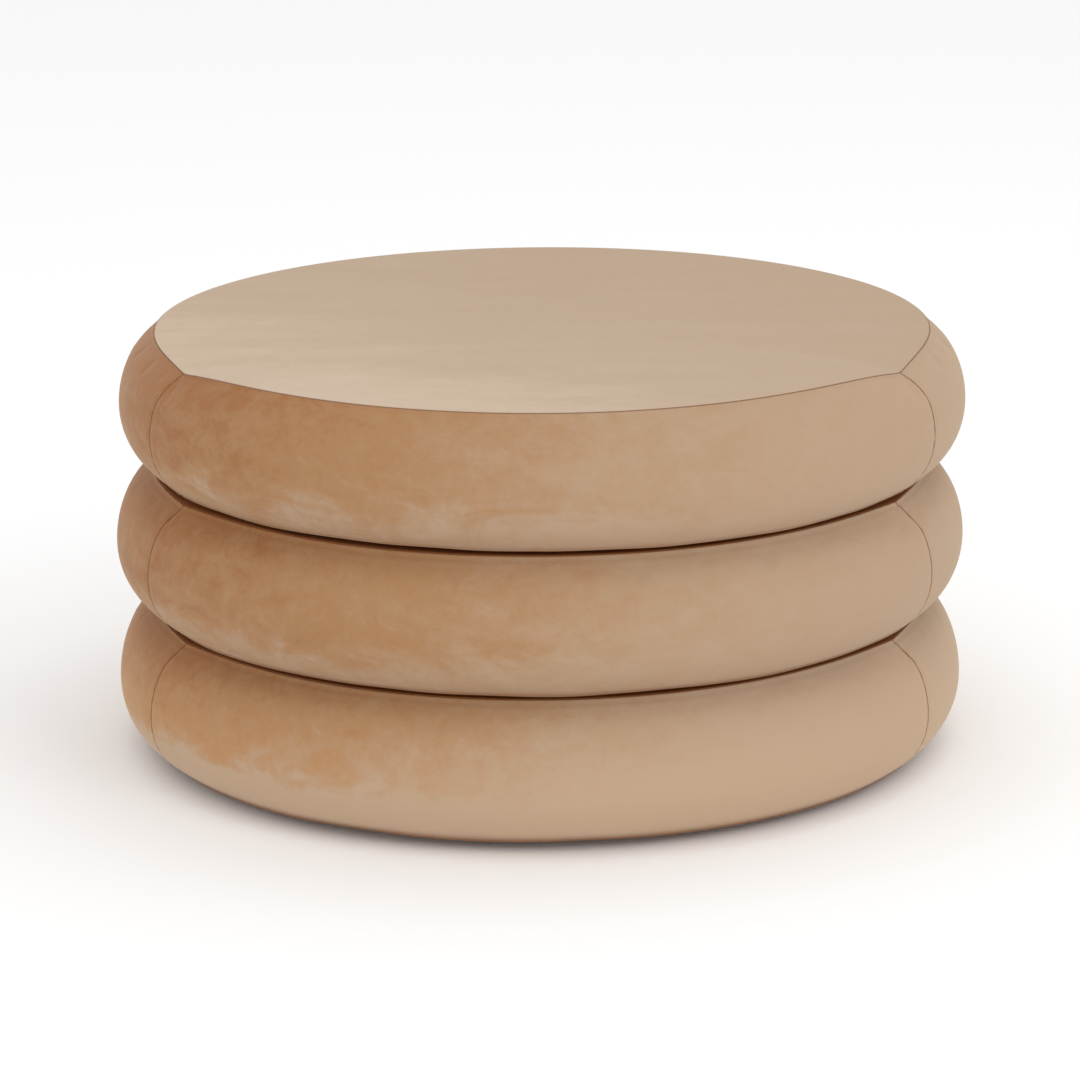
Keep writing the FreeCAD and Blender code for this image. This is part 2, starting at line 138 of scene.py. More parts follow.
def profile(size):
    """Radius and height of every row."""
    rows = []
    for row in range(TOP_ROWS):
        share = 1 - (1 - row / TOP_ROWS) ** 1.5
        rows.append((size["seam"] * share, size["high"]))
    half = SIDE_ROWS // 2
    rows += arc_points((size["seam"], size["high"]), (size["widest"], size["belly"]), half)
    rows += arc_points((size["widest"], size["belly"]), (size["edge"], size["low"]), SIDE_ROWS - half)[1:]
    for row in range(1, UNDER_ROWS + 1):
        share = (1 - row / UNDER_ROWS) ** 1.2
        rows.append((size["edge"] * share, size["low"]))
    return np.array(rows)


def along_profile(rows):
    """Distance along the cloth from the top seam, minus over the top and plus down the side."""
    steps = np.hypot(*np.diff(rows, axis=0).T)
    walked = np.concatenate([[0], np.cumsum(steps)])
    return walked - walked[SEAM_ROW]


print("rows", LAST_ROW + 1, "columns", COLUMNS)

# %% [markdown]
# Where a vertical seam of the band meets the top seam, four thicknesses of cloth come together. They don't
# stretch, so the corner is pulled out and down and the cloth beside it puckers. The lower edge rounds up
# off the floor or the tier below. These marks are drawn before the simulation. Places round the tier are
# angles from the front, and a seeded noise adds the small unevenness of hand-cut foam.

# %% Marks of the seams and the foam
CORNER_OUT = {LEFT_SEAM: 0.0065, RIGHT_SEAM: 0.0065, BACK_SEAM: 0.0}
CORNER_DOWN = {LEFT_SEAM: 0.007, RIGHT_SEAM: 0.0105, BACK_SEAM: 0.0}
CORNER_WIDTH = math.radians(7)
RING_IN = {"lower": 0.004, "middle": 0.004, "upper": 0.0015}     # between the corners the seam stands in
SEAM_SWAY = math.radians(2.2)    # the corners are drawn together, so an upright seam leans out below them
SWAY_REACH = 0.022
TOP_REACH = 0.05                 # how far the marks at the top seam carry over the top
SIDE_REACH = 0.017               # and down the side
PRESSED_CORNER = 0.15            # share of a corner's drop that is left under another tier
SEAM_DROP = 0.0006               # tiers that carry another are pressed down at the seam
EDGE_LIFT = {"lower": 0.0026, "middle": 0.0029, "upper": 0.0029}    # the edge rounds up off its footing
EDGE_REACH = 0.014
EDGE_WAVE = 0.0016               # and isn't quite level all round
EDGE_WAVE_LENGTH = 0.075
LEAST_LIFT = 0.0008
FOAM_UNEVEN = 0.0013
FOAM_LENGTH = 0.16               # size of the foam's lumps and hollows


def angle_from(angle, seam):
    return (angle - seam + math.pi) % (2 * math.pi) - math.pi


def swayed(angle, along):
    """The angle that a cut line from the top at an angle has reached at a distance down the side."""
    off = angle_from(angle, 0)
    before = off / RIGHT_SEAM
    behind = np.sign(off) * (math.pi - np.abs(off)) / (math.pi - RIGHT_SEAM)
    share = np.where(np.abs(off) <= RIGHT_SEAM, before, behind)
    return angle + SEAM_SWAY * share * (1 - np.exp(-np.maximum(along, 0) / SWAY_REACH))


# the tiers are stuffed by hand, so they differ a little and don't stand exactly on each other
STANDS_AT = {"lower": -0.002, "middle": -0.001, "upper": 0.002}
FATTER = {"lower": 0.002, "middle": 0.002, "upper": -0.001}


def corner_pull(angle, amounts=None):
    """1 at a vertical seam, or that seam's amount, falling off quickly to either side."""
    pull = np.zeros_like(angle)
    for seam in SEAMS:
        off = np.abs(angle_from(angle, seam))
        amount = amounts[seam] if amounts else 1.0
        pull = np.maximum(pull, amount * np.exp(-np.sqrt(off ** 2 + 1e-4) / CORNER_WIDTH))
    return pull


def unevenness(points, seed):
    """One smooth seeded noise value per point, from -1 to 1."""
    shift = Vector((seed * 3.7, seed * 1.3, seed * 2.1))
    return np.array([noise.noise(Vector(p) / FOAM_LENGTH + shift) for p in points])


def grid_body(tier, seed):
    """Rest places of a tier's grid by row and column, and each row's distance along the cloth."""
    size = SIZES[tier]
    rows = profile(size)
    along = along_profile(rows)
    angle = np.linspace(0, 2 * math.pi, COLUMNS, endpoint=False)
    radius = np.repeat(rows[:, :1], COLUMNS, axis=1)
    height = np.repeat(rows[:, 1:], COLUMNS, axis=1)
    near = np.where(along < 0, np.exp(along / TOP_REACH), np.exp(-np.maximum(along, 0) / SIDE_REACH))
    near[EDGE_ROW:] = 0
    radius += near[:, None] * (corner_pull(angle, CORNER_OUT) - RING_IN[tier])
    drop = corner_pull(angle, CORNER_DOWN)
    if tier != "upper":
        drop = drop * PRESSED_CORNER + SEAM_DROP
    height -= near[:, None] * drop
    edge = np.stack([np.sin(angle), np.cos(angle), np.zeros(COLUMNS)], axis=1)
    edge = edge * size["edge"] / EDGE_WAVE_LENGTH
    wave = np.array([noise.noise(Vector(p) + Vector((0, 0, seed * 4.3))) for p in edge])
    lift = np.maximum(EDGE_LIFT[tier] + EDGE_WAVE * wave, LEAST_LIFT)
    height += lift * np.exp(-np.abs(along - along[EDGE_ROW]) / EDGE_REACH)[:, None]
    points = np.stack([radius * np.sin(angle), -radius * np.cos(angle), height], axis=-1)
    return points, along


print("corner pull at the front and at a seam", corner_pull(np.array([0.0, LEFT_SEAM])).round(3))

# %% Grid meshes
def grid_mesh(name, rows, columns):
    """A flat grid of faces, and the row and column of each of its vertices."""
    bm = bmesh.new()
    bmesh.ops.create_grid(bm, x_segments=columns, y_segments=rows, size=0.5)
    mesh = bpy.data.meshes.new(name)
    bm.to_mesh(mesh)
    bm.free()
    flat = np.zeros(len(mesh.vertices) * 3)
    mesh.vertices.foreach_get("co", flat)
    flat = flat.reshape(-1, 3)
    column = np.rint((flat[:, 0] + 0.5) * columns).astype(int)
    row = np.rint((0.5 - flat[:, 1]) * rows).astype(int)
    return mesh, row, column


def place(mesh, points):
    mesh.vertices.foreach_set("co", np.ascontiguousarray(points, dtype=np.float32).ravel())
    mesh.update()


def add_object(name, mesh):
    piece = bpy.data.objects.new(name, mesh)
    bpy.context.scene.collection.objects.link(piece)
    return piece


def close_mesh(mesh, distance=1e-6):
    """Join the vertices that lie on each other, and turn the faces outwards."""
    bm = bmesh.new()
    bm.from_mesh(mesh)
    bmesh.ops.remove_doubles(bm, verts=bm.verts, dist=distance)
    bmesh.ops.recalc_face_normals(bm, faces=bm.faces)
    bm.to_mesh(mesh)
    bm.free()


# %% [markdown]
# ## Filling the cover
# The cloth is held where the real one is stapled, under the board. Foam stands behind the rest, so those
# points are held softly instead of being free, and the top is held more than the side because a flat pad
# and a board lie under it. Thread holds the seams short, which is what makes the cloth beside them pucker.
# Afterwards no point may have moved further than the foam would let it.

# %% The cloth simulation
STEPS = 20
PRESSURE = 4.0
MOST_MOVE = 0.012
SEAM_SHRINK = 0.05
START_SMALL = 0.003
TOP_HOLD = 0.8           # 1 holds a point where it is, 0 leaves it free
SIDE_HOLD = 0.05
STAPLED_HOLD = 1.0
EDGE_HOLD = 0.5
THREAD_REACH = 0.012     # how far from the top seam the thread draws the cloth in


def hold_weights(tier, along, angle):
    """How firmly each grid point is held, and how much each is drawn short by thread."""
    rows = profile(SIZES[tier])
    hold = np.zeros((LAST_ROW + 1, COLUMNS))
    hold[:SEAM_ROW + 1] = TOP_HOLD
    hold[SEAM_ROW + 1:EDGE_ROW] = SIDE_HOLD
    stapled = rows[EDGE_ROW:, 0] < SIZES[tier]["board"]
    hold[EDGE_ROW:] = np.where(stapled, STAPLED_HOLD, EDGE_HOLD)[:, None]
    seam_near = np.exp(-(along / THREAD_REACH) ** 2)
    thread = seam_near[:, None] * (0.25 + 0.05 * corner_pull(angle)[None])
    return hold, thread


def add_weights(piece, name, weights):
    group = piece.vertex_groups.new(name=name)
    for index, weight in enumerate(weights):
        group.add([index], float(weight), "REPLACE")


def fill_cover(tier, points, along):
    """Run the cloth on a tier's grid and return the grid's new places."""
    angle = np.linspace(0, 2 * math.pi, COLUMNS, endpoint=False)
    mesh, row, column = grid_mesh(f"{tier}_cloth", LAST_ROW, COLUMNS)
    column = column % COLUMNS
    place(mesh, points[row, column])
    hold, thread = hold_weights(tier, along, angle)
    bm = bmesh.new()
    bm.from_mesh(mesh)
    spot = bm.verts.layers.int.new("spot")
    bm.verts.ensure_lookup_table()
    for vert in bm.verts:
        vert[spot] = int(row[vert.index] * COLUMNS + column[vert.index])
    bmesh.ops.remove_doubles(bm, verts=bm.verts, dist=1e-6)
    bmesh.ops.recalc_face_normals(bm, faces=bm.faces)
    spots = np.array([vert[spot] for vert in bm.verts])
    bm.to_mesh(mesh)
    bm.free()
    piece = add_object(f"{tier}_cloth", mesh)
    add_weights(piece, "held", hold.ravel()[spots])
    add_weights(piece, "thread", thread.ravel()[spots])
    cloth = piece.modifiers.new("cover", "CLOTH")
    settings = cloth.settings
    settings.quality = 6
    settings.mass = 0.35
    settings.tension_stiffness = 25
    settings.compression_stiffness = 20
    settings.shear_stiffness = 12
    settings.bending_stiffness = 1.5
    settings.vertex_group_mass = "held"
    settings.pin_stiffness = 1.0
    settings.vertex_group_shrink = "thread"
    settings.shrink_max = SEAM_SHRINK
    settings.use_pressure = True
    settings.uniform_pressure_force = PRESSURE
    settings.effector_weights.gravity = 0
    cloth.collision_settings.use_collision = False
    cloth.point_cache.frame_start = 1
    cloth.point_cache.frame_end = STEPS
    for step in range(1, STEPS + 1):
        bpy.context.scene.frame_set(step)
    shown = piece.evaluated_get(bpy.context.evaluated_depsgraph_get())
    moved = np.zeros(len(mesh.vertices) * 3)
    shown.data.vertices.foreach_get("co", moved)
    moved = moved.reshape(-1, 3)
    bpy.data.objects.remove(piece)
    filled = points.reshape(-1, 3).copy()
    shift = moved - filled[spots]
    length = np.linalg.norm(shift, axis=1, keepdims=True)
    shift *= np.minimum(1, MOST_MOVE / np.maximum(length, 1e-9))
    filled[spots] += shift
    filled = filled.reshape(points.shape)
    for pole in (0, LAST_ROW):
        filled[pole] = filled[pole].mean(axis=0) if pole else filled[1].mean(axis=0)
    print(tier, "moved by up to", round(float(length.max()) * 1000, 1), "mm")
    return filled


def shape_tier(tier, seed):
    """The finished grid of a tier: filled, brought back to its size, and made uneven like its foam."""
    points, along = grid_body(tier, seed)
    small = points.copy()
    small[..., :2] *= 1 - START_SMALL / SIZES[tier]["widest"]
    filled = fill_cover(tier, small, along)
    widest = np.hypot(filled[SEAM_ROW:EDGE_ROW, :, 0], filled[SEAM_ROW:EDGE_ROW, :, 1]).max(axis=0).mean()
    filled = filled.copy()
    filled[..., :2] *= (SIZES[tier]["widest"] + FATTER[tier]) / widest
    bump = unevenness(filled.reshape(-1, 3), seed).reshape(filled.shape[:2])
    out = filled * (1, 1, 0)
    out /= np.maximum(np.linalg.norm(out, axis=-1, keepdims=True), 1e-6)
    side = np.zeros(LAST_ROW + 1)
    side[SEAM_ROW:EDGE_ROW + 1] = np.sin(np.linspace(0.35, math.pi - 0.35, SIDE_ROWS + 1))
    filled += out * (bump * side[:, None] * FOAM_UNEVEN)[..., None]
    moved = np.minimum(np.hypot(filled[..., 0], filled[..., 1]) / SIZES[tier]["board"], 1)
    filled[..., 0] += STANDS_AT[tier] * moved
    print(tier, "widest", round(float(np.hypot(filled[..., 0], filled[..., 1]).max()), 4),
          "height", round(float(filled[..., 2].min()), 4), round(float(filled[..., 2].max()), 4))
    return filled, along


SHAPES = {tier: shape_tier(tier, seed) for seed, tier in enumerate(TIERS, start=1)}

# %% [markdown]
# ## Reading the body between its grid points
# Panels need finer rows near their seams than the simulation used, so the body is sampled with a smooth
# curve through its points (Catmull-Rom) in both directions. The top and the side are sampled apart, because
# the crease between them is real and must not be smoothed away.

# %% Sampling the body
def spline_weights(part):
    return np.stack([
        (-part + 2 * part ** 2 - part ** 3) / 2,
        (2 - 5 * part ** 2 + 3 * part ** 3) / 2,
        (part + 4 * part ** 2 - 3 * part ** 3) / 2,
        (part ** 3 - part ** 2) / 2,
    ])


def sample(tier, angle, along, part):
    """Places on a tier at angles from the front and distances along the cloth, on its top or its side."""
    grid, walked = SHAPES[tier]
    first, last = (0, SEAM_ROW) if part == "top" else (SEAM_ROW, LAST_ROW)
    row = np.interp(along, walked[first:last + 1], np.arange(first, last + 1))
    row0 = np.clip(np.floor(row).astype(int), first, last - 1)
    column = (angle % (2 * math.pi)) / (2 * math.pi) * COLUMNS
    column0 = np.floor(column).astype(int)
    row_weight = spline_weights(row - row0)
    column_weight = spline_weights(column - column0)
    place_sum = np.zeros(np.shape(angle) + (3,))
    for i in range(4):
        rows = np.clip(row0 + i - 1, first, last)
        for j in range(4):
            columns = (column0 + j - 1) % COLUMNS
            weight = row_weight[i] * column_weight[j]
            place_sum += weight[..., None] * grid[rows, columns]
    return place_sum


def sample_with_normal(tier, angle, along, part):
    """The place and the outward direction."""
    here = sample(tier, angle, along, part)
    turn, step = math.radians(0.5), 0.002
    around = sample(tier, angle + turn, along, part) - sample(tier, angle - turn, along, part)
    first, last = (-10, 0) if part == "top" else (0, 10)
    down = (sample(tier, angle, np.minimum(along + step, last), part)
            - sample(tier, angle, np.maximum(along - step, first), part))
    normal = np.cross(down, around)
    length = np.linalg.norm(normal, axis=-1, keepdims=True)
    normal = np.where(length > 1e-9, normal / np.maximum(length, 1e-9), (0, 0, 1))
    return here, normal


# %% [markdown]
# ## Velvet panels
# Each tier's cover is a front, a left and a right band panel and a round top panel. At a seam the cloth
# turns inwards round a small radius, and its allowance lies against the allowance of the next panel. That
# turn is modelled, so a seam is a real valley with two rounded shoulders instead of a painted line. The
# allowance also lifts the cloth a little beside the seam.

# %% Seam shape
TOP_TURN = 0.002         # radius of the cloth's turn at the top seam
UPRIGHT_TURN = 0.0012    # and at a vertical seam
ALLOWANCE = 0.0015
LIFT = 0.0007
LIFT_AT = 0.0085
LIFT_WIDTH = 0.0024
PUCKER = 0.0005          # height of the small gathers that thread pulls up beside a seam
PUCKER_REACH = 0.011
FINE = 0.0032            # size of a panel's faces
SHARED_TO = 0.0025       # so near the seam both panels turn in the same way
OWN_FROM = 0.0085        # and from here each has its own direction
GATHER = 0.0125          # one small gather and the next


def crease_normal(tier, angle, distance, normal):
    """Near the top seam both panels turn in along the direction half-way between them, so they meet."""
    at_seam = np.zeros_like(angle)
    on_top = sample_with_normal(tier, angle, at_seam, "top")[1]
    on_side = sample_with_normal(tier, angle, at_seam, "side")[1]
    shared = on_top + on_side
    share = np.clip((distance - SHARED_TO) / (OWN_FROM - SHARED_TO), 0, 1)[..., None]
    mixed = normal * share + shared / np.linalg.norm(shared, axis=-1, keepdims=True) * (1 - share)
    return mixed / np.linalg.norm(mixed, axis=-1, keepdims=True)


def turn_in(distance, turn):
    """Depth of the cloth at a distance from its seam line; a negative distance is on the allowance."""
    near = np.clip(1 - distance / turn, 0, 1)
    depth = turn * (1 - np.sqrt(np.maximum(1 - near ** 2, 0)))
    return depth + np.maximum(-distance, 0)


def lifted(distance):
    """Height of the ridge that the hidden allowance makes beside a seam."""
    return LIFT * np.exp(-((distance - LIFT_AT) / LIFT_WIDTH) ** 2)


def puckers(along_seam, distance, seed, strength):
    """Depth of the gathers beside a seam: uneven waves that fade away from it."""
    beat = np.array([noise.noise(Vector((x * 28, seed * 7.1, 0.3))) for x in along_seam])
    loud = np.array([noise.noise(Vector((x * 9, seed * 3.3, 5.1))) for x in along_seam])
    wave = np.sin(2 * math.pi * along_seam / GATHER + beat * 5)
    fade = np.clip(distance / 0.002, 0, 1) * np.exp(-np.maximum(distance, 0) / PUCKER_REACH)
    return PUCKER * wave * fade * strength * (0.6 + 0.8 * loud)


def seam_spacing(length, coarse):
    """Distances from one seam to the other, close together near both ends, allowances included."""
    fine = np.array([-ALLOWANCE, 0, 0.00015, 0.0005, 0.0011, 0.0019, 0.003, 0.0046, 0.0065, 0.0088])
    inner = fine[-1]
    count = max(2, round((length - 2 * inner) / coarse))
    middle = np.linspace(inner, length - inner, count + 1)[1:-1]
    return np.concatenate([fine, middle, (length - fine)[::-1]])


print("seam spacing, first steps in mm", (seam_spacing(0.5, 0.004)[:12] * 1000).round(2))

# %% Building a panel
def finish_panel(name, mesh, uv, seam_distance):
    """Give the cloth its map, its distance from the seams and its thickness."""
    near = mesh.attributes.new("seam_distance", "FLOAT", "POINT")
    near.data.foreach_set("value", np.ascontiguousarray(seam_distance, dtype=np.float32))
    layer = mesh.uv_layers.new(name="cloth")
    corner = np.zeros(len(mesh.loops), dtype=np.int32)
    mesh.loops.foreach_get("vertex_index", corner)
    layer.data.foreach_set("uv", np.ascontiguousarray(uv[corner], dtype=np.float32).ravel())
    for face in mesh.polygons:
        face.use_smooth = True
    piece = add_object(name, mesh)
    thick = piece.modifiers.new("thickness", "SOLIDIFY")
    thick.thickness = VELVET
    thick.offset = -1
    return piece


def outward(mesh, centre):
    """Turn the faces round if the mesh faces its own middle."""
    total = 0.0
    for face in list(mesh.polygons)[::97]:
        total += (face.center - centre).dot(face.normal)
    if total < 0:
        mesh.flip_normals()


def band_panel(tier, side, start, stop):
    """One panel of the band, from the top seam down the side and under the board."""
    walked = SHAPES[tier][1]
    size = SIZES[tier]
    tuck = walked[EDGE_ROW] + size["edge"] - size["tuck"]
    length = (stop - start) * size["widest"]
    across = seam_spacing(length, FINE)
    fine = seam_spacing(walked[EDGE_ROW], FINE)
    down = fine[fine < walked[EDGE_ROW] / 2]
    rest = np.linspace(down[-1], tuck, round((tuck - down[-1]) / FINE) + 1)[1:]
    down = np.concatenate([down, rest])
    mesh, row, column = grid_mesh(f"{tier}_{side}_velvet", len(down) - 1, len(across) - 1)
    u, v = across[column], down[row]
    flat_u, flat_v = np.clip(u, 0, length), np.maximum(v, 0)
    angle = swayed(start + flat_u / size["widest"], flat_v)
    here, normal = sample_with_normal(tier, angle, flat_v, "side")
    normal = crease_normal(tier, angle, v, normal)
    sides = np.minimum(u, length - u)
    depth = turn_in(sides, UPRIGHT_TURN) + turn_in(v, TOP_TURN)
    lift = -0.4 * lifted(sides) - lifted(v)
    seed = len(bpy.data.meshes)
    near_corner = np.exp(-np.maximum(sides, 0) / 0.05)
    lift = lift + puckers(flat_u, flat_v, seed, 0.2 + 0.35 * near_corner)
    lift = lift + puckers(flat_v, np.maximum(sides, 0), seed + 1, 0.8)
    place(mesh, here - normal * (depth + lift)[:, None])
    outward(mesh, Vector((0, 0, (size["low"] + size["high"]) / 2)))
    piece = finish_panel(f"{tier}_{side}_velvet", mesh, np.stack([u, -v], axis=1), np.minimum(sides, v))
    print(piece.name, round(length, 3), "by", round(float(tuck), 3), "m,", len(mesh.polygons), "faces")
    return piece, length, tuck


def top_panel(tier):
    """The round panel inside the top seam."""
    walked = SHAPES[tier][1]
    radius = -walked[0]
    inward = seam_spacing(2 * radius, 0.006)
    inward = np.concatenate([inward[inward < radius - 0.004], [radius]])
    mesh, row, column = grid_mesh(f"{tier}_top_velvet", len(inward) - 1, COLUMNS)
    distance = inward[row]
    angle = column / COLUMNS * 2 * math.pi - math.pi
    here, normal = sample_with_normal(tier, angle, np.minimum(-distance, 0), "top")
    normal = crease_normal(tier, angle, distance, normal)
    edge = angle * SIZES[tier]["seam"]
    strength = 0.3 * corner_pull(angle, CORNER_OUT) / CORNER_OUT[LEFT_SEAM]
    gather = puckers(edge, distance, 40 + len(bpy.data.meshes), strength)
    place(mesh, here - normal * (turn_in(distance, TOP_TURN) + gather)[:, None])
    reach_out = radius - distance
    uv = np.stack([reach_out * np.sin(angle), -reach_out * np.cos(angle)], axis=1)
    piece = finish_panel(f"{tier}_top_velvet", mesh, uv, distance)
    close_mesh(mesh)
    outward(mesh, Vector((0, 0, SIZES[tier]["low"])))
    print(piece.name, "radius", round(float(radius), 3), "m,", len(mesh.polygons), "faces")
    return piece, radius


# %% Cut all the velvet
VELVET_PIECES = []
BAND_SIDES = {
    "front": (LEFT_SEAM, RIGHT_SEAM),
    "right": (RIGHT_SEAM, BACK_SEAM),
    "left": (-BACK_SEAM, LEFT_SEAM),
}
for tier in TIERS:
    for side, (start, stop) in BAND_SIDES.items():
        piece, cut_width, cut_length = band_panel(tier, side, start, stop)
        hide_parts(f"{tier}_band_{side}")
        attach(piece, "root")
        VELVET_PIECES.append(piece)
    piece, radius = top_panel(tier)
    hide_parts(f"{tier}_top_panel")
    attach(piece, "root")
    2 * radius
    2 * radius
    math.pi * radius ** 2
    VELVET_PIECES.append(piece)

# %% [markdown]
# ## Wadding and foam
# Under the velvet lies a layer of polyester wadding, which rounds every edge, then a foam pad on the top
# board and a foam rim round the frame. They take their shape from the same body, a few millimetres further
# in, so they follow every dent of the cover.

# %% Soft layers inside the cover
WADDING_IN = 0.0036      # depth of the wadding's outside under the velvet's
WADDING = 0.004
FOAM_IN = 0.0082
SLACK = 0.0004           # room between a foam piece and the board or foam beside it
BASE_ROWS = 6
LAYER_COLUMNS = 180
LAYER_ROWS = 44


def layer_rows(tier, depth):
    """Rows of a layer at a depth under the velvet, from the top seam's height down to the bottom edge."""
    walked = SHAPES[tier][1]
    along = np.linspace(0.001, walked[EDGE_ROW] - 0.0005, LAYER_ROWS)
    angle = np.linspace(0, 2 * math.pi, LAYER_COLUMNS, endpoint=False)
    angles, alongs = np.meshgrid(angle, along)
    here, normal = sample_with_normal(tier, angles, alongs, "side")
    return here - normal * depth


def top_rows(tier, rim, depth, count=16):
    """Rows of a layer under the top panel, from its middle out to a rim row."""
    share = (np.arange(count) / count)[:, None]
    middle = rim[:, :2].mean(axis=0)
    flat = middle + (rim[None, :, :2] - middle) * share[..., None]
    walked = SHAPES[tier][1]
    angle = np.linspace(0, 2 * math.pi, LAYER_COLUMNS, endpoint=False)
    angles, shares = np.meshgrid(angle, share[:, 0])
    height = sample(tier, angles, walked[0] * (1 - shares), "top")[..., 2] - depth
    return np.concatenate([flat, height[..., None]], axis=-1)


def closed_body(name, rows, ring):
    """A closed solid from rows of points round the tier: a ring joins its last row to its first."""
    rows = np.concatenate([rows, rows[:1]]) if ring else rows
    mesh, row, column = grid_mesh(name, len(rows) - 1, LAYER_COLUMNS)
    place(mesh, rows[row, column % LAYER_COLUMNS])
    close_mesh(mesh)
    for face in mesh.polygons:
        face.use_smooth = True
    return add_object(name, mesh)


def at_height(rows, heights):
    """Points of the layer's rows at given heights, column by column."""
    out = np.zeros((len(heights), rows.shape[1], 3))
    for column in range(rows.shape[1]):
        line = rows[::-1, column]
        for axis in range(2):
            out[:, column, axis] = np.interp(heights, line[:, 2], line[:, axis])
    out[..., 2] = heights[:, None]
    return out


def flat_row(radius, height):
    angle = np.linspace(0, 2 * math.pi, LAYER_COLUMNS, endpoint=False)
    return np.stack([radius * np.sin(angle), -radius * np.cos(angle), np.full_like(angle, height)], axis=-1)


def soft_layer(piece, node):
    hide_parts(node)
    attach(piece, "root")
    return piece


WADDING_PIECES = []
FOAM_PIECES = []
for tier in TIERS:
    size = SIZES[tier]
    outer = layer_rows(tier, WADDING_IN)
    inner = layer_rows(tier, WADDING_IN + WADDING)
    cap = top_rows(tier, outer[0], WADDING_IN)
    under = top_rows(tier, inner[0], WADDING_IN + WADDING)
    shell_rows = np.concatenate([cap, outer, inner[::-1], under[::-1]])
    shell = closed_body(f"{tier}_wadding_layer", shell_rows, False)
    WADDING_PIECES.append(soft_layer(shell, f"{tier}_wadding"))

    core = layer_rows(tier, FOAM_IN)
    pad_top = size["high"] - FOAM_IN - 0.001
    pad_side = at_height(core, np.linspace(pad_top - 0.004, size["pad_low"] + SLACK, 6))
    shoulder = at_height(core, np.array([pad_top - 0.001]))
    shoulder[..., :2] *= 0.994
    pad_cap = top_rows(tier, shoulder[0], FOAM_IN + 0.001, 8)
    pad_cap[..., 2] = np.minimum(pad_cap[..., 2], pad_top)
    shares = np.linspace(1, 0, BASE_ROWS)[:, None, None]
    base_height = np.full((BASE_ROWS, LAYER_COLUMNS, 1), size["pad_low"])
    base = np.concatenate([pad_side[-1:, :, :2] * shares, base_height], axis=-1)
    pad = closed_body(f"{tier}_foam_pad", np.concatenate([pad_cap, shoulder, pad_side, base]), False)
    FOAM_PIECES.append(soft_layer(pad, f"{tier}_top_pad"))

    rim_side = at_height(core, np.linspace(size["pad_low"] - 0.0006, core[-1, :, 2].mean() + SLACK, 18))
    hole = size["board"] + 0.0003
    hole_top = flat_row(hole, size["pad_low"] - SLACK)[None]
    hole_foot = flat_row(hole, size["foam_low"] + 2 * SLACK)[None]
    rim_rows = np.concatenate([hole_top, rim_side, hole_foot])
    rim = closed_body(f"{tier}_foam_ring", rim_rows, True)
    FOAM_PIECES.append(soft_layer(rim, f"{tier}_foam_rim"))
    print(tier, "wadding, foam pad and foam ring made")

# %% [markdown]
# ## Shader arithmetic
# A finish is mostly arithmetic on patterns. One small class wraps a node's output, so that sums read like
# sums, and one method adds any other node with its settings and inputs.

# %% A material builder
class Value:
    """An output of a node, which can be used in arithmetic."""

    def __init__(self, finish, socket):
        self.finish = finish
        self.socket = socket

    def _math(self, operation, *others):
        terms = dict(enumerate((self,) + others))
        return self.finish.node("ShaderNodeMath", {"operation": operation}, terms)

    def __add__(self, other):
        return self._math("ADD", other)

    __radd__ = __add__

    def __sub__(self, other):
        return self._math("SUBTRACT", other)

    def __rsub__(self, other):
        return (self * -1) + other

    def __mul__(self, other):
        return self._math("MULTIPLY", other)

    __rmul__ = __mul__

    def sine(self):
        return self._math("SINE")

    def size(self):
        return self._math("ABSOLUTE")

    def between(self, low, high):
        """0 below low, 1 above high, smooth in the middle."""
        return self.finish.node("ShaderNodeMapRange", {"interpolation_type": "SMOOTHSTEP"},
                                {"Value": self, "From Min": low, "From Max": high})


class Finish:
    """A material with one Principled shader."""

    def __init__(self, name, **constants):
        self.material = bpy.data.materials.new(name)
        self.material.use_nodes = True
        self.tree = self.material.node_tree
        self.shader = next(n for n in self.tree.nodes if n.type == "BSDF_PRINCIPLED")
        for socket, value in constants.items():
            self.shader.inputs[socket.replace("_", " ")].default_value = value

    def node(self, kind, settings=None, inputs=None, output=0):
        node = self.tree.nodes.new(kind)
        for name, value in (settings or {}).items():
            setattr(node, name, value)
        for name, value in (inputs or {}).items():
            if isinstance(value, Value):
                self.tree.links.new(value.socket, node.inputs[name])
            else:
                node.inputs[name].default_value = value
        return Value(self, node.outputs[output])

    def place(self, scale, stretch=(1, 1, 1), turn=0.0):
        """Object coordinates scaled to cells per metre."""
        source = self.node("ShaderNodeTexCoord", output="Object")
        size = tuple(scale * part for part in stretch)
        return self.node("ShaderNodeMapping", None, {
            "Vector": source, "Scale": size, "Rotation": (0, 0, turn)})

    def noise(self, where, detail=2.0, roughness=0.5, distortion=0.0):
        return self.node("ShaderNodeTexNoise", None, {
            "Vector": where, "Scale": 1.0, "Detail": detail,
            "Roughness": roughness, "Distortion": distortion})

    def blend(self, share, low, high):
        """A colour between two colours."""
        return self.node("ShaderNodeMix", {"data_type": "RGBA"}, {0: share, 6: low, 7: high}, output=2)

    def feed(self, socket, value):
        self.tree.links.new(value.socket, self.shader.inputs[socket])

    def bump(self, height, distance, strength=1.0):
        normal = self.node("ShaderNodeBump", None, {
            "Height": height, "Distance": distance, "Strength": strength})
        self.feed("Normal", normal)


def colour(red, green, blue):
    """A colour given as on a paint chart, 0 to 255, as the shader's linear numbers."""
    def linear(part):
        part /= 255
        return part / 12.92 if part <= 0.04045 else ((part + 0.055) / 1.055) ** 2.4
    return (linear(red), linear(green), linear(blue), 1.0)
